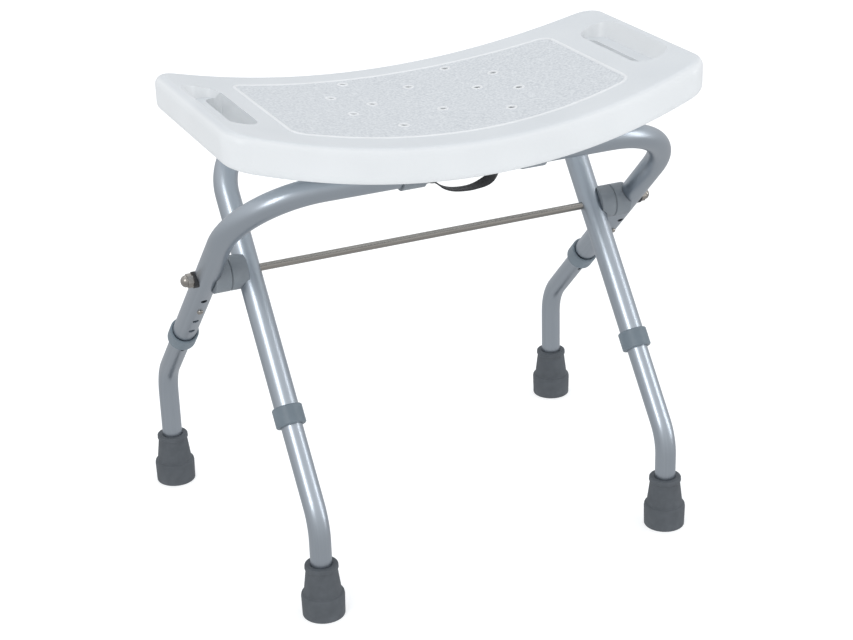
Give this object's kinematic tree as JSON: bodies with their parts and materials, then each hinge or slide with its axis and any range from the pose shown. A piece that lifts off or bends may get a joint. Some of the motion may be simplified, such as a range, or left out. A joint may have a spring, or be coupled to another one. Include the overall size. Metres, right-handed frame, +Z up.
{
  "type": "folding shower stool",
  "caption": "Folding shower stool: dished plastic seat with grip slots and drain holes on two crossed tube frames with height-adjustable legs and rubber feet.",
  "frame": {"origin": "on the floor, at the centre of the box round the part", "axes": "+X along the seat's length to its right end, seen from the front; +Y from the front, where the strap is, to the back; +Z up"},
  "size_m": [0.5434, 0.3922, 0.508],
  "materials": {
    "seat_plastic": "satin white",
    "aluminium_tube": "satin anodised",
    "collar_plastic": "blue-grey",
    "fitting_plastic": "grey",
    "foot_rubber": "grey",
    "bright_steel": "polished",
    "dark_washer": "black",
    "strap_webbing": "woven black"
  },
  "bodies": {
    "inner_frame": {"inner_frame_tube": "aluminium_tube", "collar_front_left": "collar_plastic", "collar_front_right": "collar_plastic", "pivot_spacer_inner_left": "fitting_plastic", "pivot_spacer_inner_right": "fitting_plastic"},
    "outer_frame": {"outer_frame_tube": "aluminium_tube", "collar_rear_left": "collar_plastic", "collar_rear_right": "collar_plastic", "pivot_spacer_outer_left": "fitting_plastic", "pivot_spacer_outer_right": "fitting_plastic", "pivot_rod": "bright_steel", "saddle_washer_left": "dark_washer", "saddle_washer_right": "dark_washer", "dome_nut_left": "bright_steel", "dome_nut_right": "bright_steel"},
    "seat": {"seat_shell": "seat_plastic", "front_clip_left": "fitting_plastic", "front_clip_right": "fitting_plastic", "rear_saddle_left": "fitting_plastic", "rear_saddle_right": "fitting_plastic", "front_clip_screws": "fitting_plastic", "rear_saddle_screws": "fitting_plastic", "strap_screws": "bright_steel", "pull_strap": "strap_webbing"},
    "leg_front_left": {"lower_leg_front_left": "aluminium_tube", "rubber_foot_front_left": "foot_rubber", "foot_washer_front_left": "bright_steel", "snap_spring_front_left": "bright_steel"},
    "button_front_left": {"snap_button_front_left": "bright_steel"},
    "leg_front_right": {"lower_leg_front_right": "aluminium_tube", "rubber_foot_front_right": "foot_rubber", "foot_washer_front_right": "bright_steel", "snap_spring_front_right": "bright_steel"},
    "button_front_right": {"snap_button_front_right": "bright_steel"},
    "leg_rear_left": {"lower_leg_rear_left": "aluminium_tube", "rubber_foot_rear_left": "foot_rubber", "foot_washer_rear_left": "bright_steel", "snap_spring_rear_left": "bright_steel"},
    "button_rear_left": {"snap_button_rear_left": "bright_steel"},
    "leg_rear_right": {"lower_leg_rear_right": "aluminium_tube", "rubber_foot_rear_right": "foot_rubber", "foot_washer_rear_right": "bright_steel", "snap_spring_rear_right": "bright_steel"},
    "button_rear_right": {"snap_button_rear_right": "bright_steel"}
  },
  "joints": [
    {"name": "scissor_fold", "type": "hinge", "parent": "inner_frame", "child": "outer_frame", "pos_m": [0, -0.00696, 0.316], "axis": [-1, 0, 0], "range_deg": [0, 72], "deforming": ["front_clip_left", "front_clip_right"]},
    {"name": "seat_tip", "type": "hinge", "parent": "inner_frame", "child": "seat", "pos_m": [0, 0.08367, 0.432], "axis": [-1, 0, 0], "range_deg": [0, 95]},
    {"name": "leg_front_left_height", "type": "slide", "parent": "inner_frame", "child": "leg_front_left", "axis": [0, -0.6157, -0.788], "range_m": [-0.0254, 0.0508], "deforming": ["snap_button_front_left"]},
    {"name": "button_front_left_press", "type": "slide", "parent": "leg_front_left", "child": "button_front_left", "axis": [0, 0.788, -0.6157], "range_m": [-0.0042, 0], "stiffness_N_per_m": 900, "springref_m": 0.003, "deforming": ["snap_spring_front_left"]},
    {"name": "leg_front_right_height", "type": "slide", "parent": "inner_frame", "child": "leg_front_right", "axis": [0, -0.6157, -0.788], "range_m": [-0.0254, 0.0508], "deforming": ["snap_button_front_right"]},
    {"name": "button_front_right_press", "type": "slide", "parent": "leg_front_right", "child": "button_front_right", "axis": [0, 0.788, -0.6157], "range_m": [-0.0042, 0], "stiffness_N_per_m": 900, "springref_m": 0.003, "deforming": ["snap_spring_front_right"]},
    {"name": "leg_rear_left_height", "type": "slide", "parent": "outer_frame", "child": "leg_rear_left", "axis": [0, 0.7034, -0.7108], "range_m": [-0.0254, 0.0508], "deforming": ["snap_button_rear_left"]},
    {"name": "button_rear_left_press", "type": "slide", "parent": "leg_rear_left", "child": "button_rear_left", "axis": [0, -0.7108, -0.7034], "range_m": [-0.0042, 0], "stiffness_N_per_m": 900, "springref_m": 0.003, "deforming": ["snap_spring_rear_left"]},
    {"name": "leg_rear_right_height", "type": "slide", "parent": "outer_frame", "child": "leg_rear_right", "axis": [0, 0.7034, -0.7108], "range_m": [-0.0254, 0.0508], "deforming": ["snap_button_rear_right"]},
    {"name": "button_rear_right_press", "type": "slide", "parent": "leg_rear_right", "child": "button_rear_right", "axis": [0, -0.7108, -0.7034], "range_m": [-0.0042, 0], "stiffness_N_per_m": 900, "springref_m": 0.003, "deforming": ["snap_spring_rear_right"]}
  ],
  "couplings": [
    {"joint": "seat_tip", "follows": "scissor_fold", "ratio": 1.3194}
  ]
}
